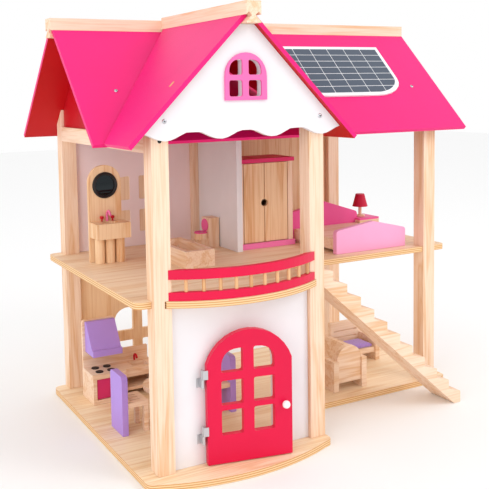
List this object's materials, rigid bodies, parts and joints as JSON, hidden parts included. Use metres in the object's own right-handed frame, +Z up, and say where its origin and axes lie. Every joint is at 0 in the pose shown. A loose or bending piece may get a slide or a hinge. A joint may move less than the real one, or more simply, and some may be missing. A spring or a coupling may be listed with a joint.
{
  "type": "wooden dollhouse",
  "caption": "Two-storey wooden dollhouse on square posts, with a cross-gabled pink roof, arched front door, curved balcony, side stair and loose toy furniture.",
  "frame": {"origin": "middle of the whole house's outline, on the ground under the base", "axes": "+X along the house towards the stair and the bedroom wing, +Y from the front to the back, +Z up"},
  "size_m": [0.66, 0.4576, 0.621],
  "materials": {
    "pine": "natural oiled pine, satin",
    "plywood": "birch plywood, clear satin lacquer",
    "white_painted_wood": "white satin paint on plywood",
    "crimson_painted_wood": "crimson satin paint on wood",
    "roof_pink_painted_wood": "hot pink satin paint outside, dark red inside",
    "soft_pink_painted_wood": "soft pink satin paint",
    "pale_pink_painted_wood": "pale pink satin paint",
    "purple_painted_wood": "lilac satin paint",
    "dark_red_painted_wood": "dark red satin paint",
    "steel": "zinc plated steel"
  },
  "bodies": {
    "house": {"base_plate": "plywood", "upper_floor": "plywood", "lower_back_wall": "plywood", "bedroom_back_wall": "plywood", "post_left_front": "pine", "post_centre_front": "pine", "post_wing_front": "pine", "post_left_back": "pine", "post_centre_back": "pine", "post_wing_back": "pine", "side_rail_left": "pine", "main_ridge_bar": "pine", "cross_ridge_bar": "pine", "baluster_01": "pine", "baluster_02": "pine", "baluster_03": "pine", "baluster_04": "pine", "baluster_05": "pine", "baluster_06": "pine", "baluster_07": "pine", "baluster_08": "pine", "baluster_09": "pine", "baluster_10": "pine", "front_wall": "white_painted_wood", "upper_back_wall": "white_painted_wood", "partition_wall": "white_painted_wood", "gable_board": "white_painted_wood", "solar_panel": "white_painted_wood", "balcony_top_rail": "crimson_painted_wood", "balcony_bottom_rail": "crimson_painted_wood", "roof_front_panel": "roof_pink_painted_wood", "roof_back_panel": "roof_pink_painted_wood", "gable_roof_left": "roof_pink_painted_wood", "gable_roof_right": "roof_pink_painted_wood", "gable_window_frame": "soft_pink_painted_wood", "roof_end_board_left": "dark_red_painted_wood", "roof_end_board_right": "dark_red_painted_wood", "hinge_upper_frame_leaf": "steel", "hinge_lower_frame_leaf": "steel"},
    "front_door_leaf": {"front_door": "crimson_painted_wood", "door_knob": "white_painted_wood", "hinge_upper_door_leaf": "steel", "hinge_lower_door_leaf": "steel"},
    "stair_flight": {"stair": "pine"},
    "sink": {"sink_unit": "pine"},
    "toilet_seat": {"toilet": "pine"},
    "tub": {"bathtub": "pine"},
    "wardrobe": {"wardrobe_case": "pine"},
    "wardrobe_left_leaf": {"wardrobe_door_left": "pine"},
    "wardrobe_right_leaf": {"wardrobe_door_right": "pine"},
    "bed": {"bed_frame": "pale_pink_painted_wood", "bed_headboard": "soft_pink_painted_wood"},
    "lamp": {"bedside_lamp": "crimson_painted_wood"},
    "kitchen": {"kitchen_unit": "pine", "kitchen_hood": "purple_painted_wood"},
    "table": {"dining_table": "pine"},
    "chair_left": {"dining_chair_left": "pine"},
    "chair_right": {"dining_chair_right": "pine"},
    "easy_chair": {"armchair": "pine"},
    "settee": {"sofa": "pine"}
  },
  "joints": [
    {"name": "front_door_hinge", "type": "hinge", "parent": "house", "child": "front_door_leaf", "pos_m": [-0.21, -0.18575, 0.09], "axis": [0, 0, 1], "range_deg": [-89.5, 10.5]},
    {"name": "wardrobe_left_hinge", "type": "hinge", "parent": "wardrobe", "child": "wardrobe_left_leaf", "pos_m": [-0.004, 0.05325, 0.316], "axis": [0, 0, 1], "range_deg": [-100, 0]},
    {"name": "wardrobe_right_hinge", "type": "hinge", "parent": "wardrobe", "child": "wardrobe_right_leaf", "pos_m": [0.082, 0.05325, 0.316], "axis": [0, 0, 1], "range_deg": [0, 100]},
    {"name": "stair_pull_off", "type": "slide", "parent": "house", "child": "stair_flight", "axis": [0, -1, 0], "range_m": [0, 0.12]},
    {"name": "sink_lift", "type": "slide", "parent": "house", "child": "sink", "axis": [0, 0, 1], "range_m": [0, 0.03]},
    {"name": "toilet_lift", "type": "slide", "parent": "house", "child": "toilet_seat", "axis": [0, 0, 1], "range_m": [0, 0.05]},
    {"name": "tub_lift", "type": "slide", "parent": "house", "child": "tub", "axis": [0, 0, 1], "range_m": [0, 0.05]},
    {"name": "wardrobe_lift", "type": "slide", "parent": "house", "child": "wardrobe", "axis": [0, 0, 1], "range_m": [0, 0.03]},
    {"name": "bed_lift", "type": "slide", "parent": "house", "child": "bed", "axis": [0, 0, 1], "range_m": [0, 0.05]},
    {"name": "lamp_lift", "type": "slide", "parent": "bed", "child": "lamp", "axis": [0, 0, 1], "range_m": [0, 0.05]},
    {"name": "kitchen_lift", "type": "slide", "parent": "house", "child": "kitchen", "axis": [0, 0, 1], "range_m": [0, 0.05]},
    {"name": "table_lift", "type": "slide", "parent": "house", "child": "table", "axis": [0, 0, 1], "range_m": [0, 0.05]},
    {"name": "chair_left_lift", "type": "slide", "parent": "house", "child": "chair_left", "axis": [0, 0, 1], "range_m": [0, 0.05]},
    {"name": "chair_right_lift", "type": "slide", "parent": "house", "child": "chair_right", "axis": [0, 0, 1], "range_m": [0, 0.05]},
    {"name": "easy_chair_lift", "type": "slide", "parent": "house", "child": "easy_chair", "axis": [0, 0, 1], "range_m": [0, 0.05]},
    {"name": "settee_lift", "type": "slide", "parent": "house", "child": "settee", "axis": [0, 0, 1], "range_m": [0, 0.05]}
  ]
}
